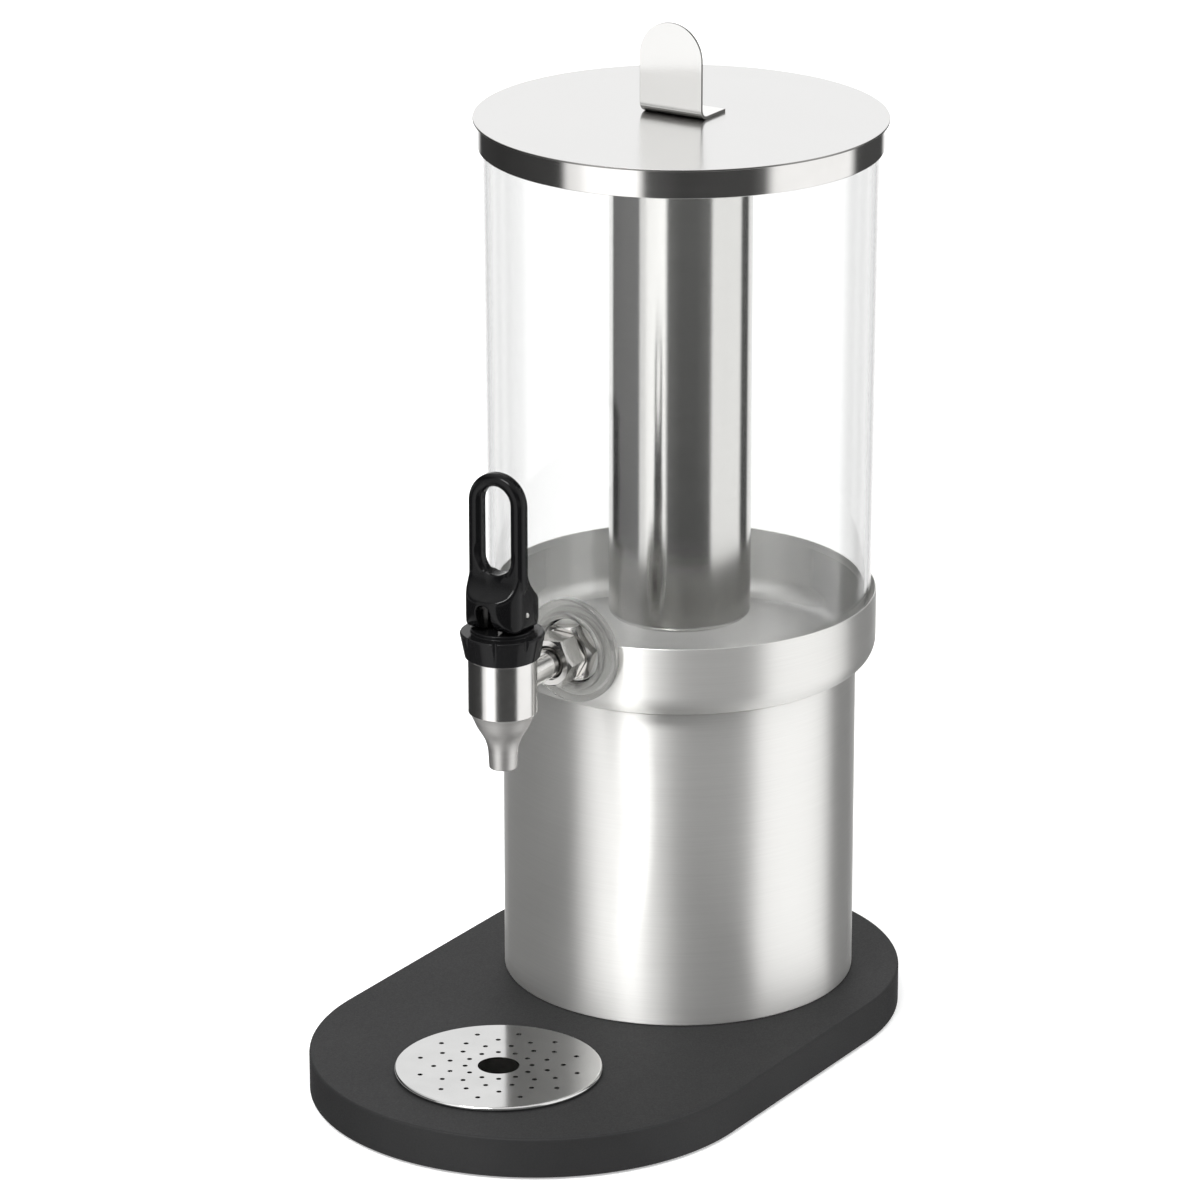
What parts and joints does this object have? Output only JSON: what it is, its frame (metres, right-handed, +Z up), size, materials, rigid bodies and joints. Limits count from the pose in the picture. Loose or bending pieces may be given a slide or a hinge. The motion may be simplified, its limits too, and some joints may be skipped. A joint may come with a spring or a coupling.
{
  "type": "juice dispenser",
  "caption": "Table-top juice dispenser: clear container with steel lid, hanging ice tube and lever tap in a steel dish on a column, over a drip tray in a black rounded board.",
  "frame": {"origin": "on the surface it stands on, under the middle of the board's plan", "axes": "+Z up, the tap and drip tray towards -Y, the column towards +Y, +X to the right of someone facing the tap from behind it"},
  "size_m": [0.22, 0.35, 0.5006],
  "materials": {
    "board": "matt black lacquered fibreboard",
    "rubber": "matt black",
    "brushed_steel": "satin stainless steel",
    "polished_steel": "polished stainless steel",
    "satin_steel": "fine satin stainless steel",
    "zinc": "zinc-plated steel",
    "clear_plastic": "clear moulded plastic",
    "silicone": "translucent silicone",
    "black_plastic": "gloss black plastic"
  },
  "bodies": {
    "base": {"board": "board", "foot_pad_1": "rubber", "foot_pad_2": "rubber", "foot_pad_3": "rubber", "foot_pad_4": "rubber", "column_shell": "brushed_steel", "column_screw_1": "zinc", "column_screw_2": "zinc", "column_screw_3": "zinc", "column_nut_1": "zinc", "column_nut_2": "zinc", "column_nut_3": "zinc", "collar_dish": "brushed_steel"},
    "vessel": {"container": "clear_plastic", "boss_ring": "clear_plastic", "outer_gasket": "silicone", "inner_gasket": "silicone", "lock_nut": "polished_steel", "tail_nut": "polished_steel", "inner_nut": "polished_steel", "tap_shank": "polished_steel", "tap_body": "polished_steel", "tap_spout": "satin_steel", "bonnet": "black_plastic", "stem_spring": "polished_steel"},
    "valve_stem": {"stem": "polished_steel", "seat_cup": "silicone", "lever_pin": "polished_steel"},
    "tap_lever": {"lever": "black_plastic"},
    "lid": {"lid_disc": "brushed_steel", "lid_skirt": "polished_steel", "lid_tab": "brushed_steel", "tube_holder": "polished_steel"},
    "ice_insert": {"ice_tube": "brushed_steel"},
    "drip_cup_body": {"drip_cup": "brushed_steel"},
    "drip_grille_body": {"drip_grille": "polished_steel"}
  },
  "joints": [
    {"name": "vessel_lift", "type": "slide", "parent": "base", "child": "vessel", "axis": [0, 0, 1], "range_m": [0, 0.06]},
    {"name": "lid_lift", "type": "slide", "parent": "vessel", "child": "lid", "axis": [0, 0, 1], "range_m": [0, 0.26]},
    {"name": "ice_tube_twist", "type": "hinge", "parent": "lid", "child": "ice_insert", "pos_m": [0, 0.065, 0.44], "axis": [0, 0, 1], "range_deg": [0, 30]},
    {"name": "stem_lift", "type": "slide", "parent": "vessel", "child": "valve_stem", "axis": [0, 0, 1], "range_m": [0, 0.0063], "deforming": ["stem_spring"]},
    {"name": "lever_tilt", "type": "hinge", "parent": "valve_stem", "child": "tap_lever", "pos_m": [0, -0.0935, 0.252], "axis": [1, 0, 0], "range_deg": [0, 60], "stiffness_Nm_per_rad": 0.15, "springref_deg": -11.46},
    {"name": "drip_cup_lift", "type": "slide", "parent": "base", "child": "drip_cup_body", "axis": [0, 0, 1], "range_m": [0, 0.06]},
    {"name": "drip_grille_lift", "type": "slide", "parent": "drip_cup_body", "child": "drip_grille_body", "axis": [0, 0, 1], "range_m": [0, 0.06]}
  ],
  "couplings": [
    {"joint": "stem_lift", "follows": "lever_tilt", "m_per_rad": 0.006}
  ]
}
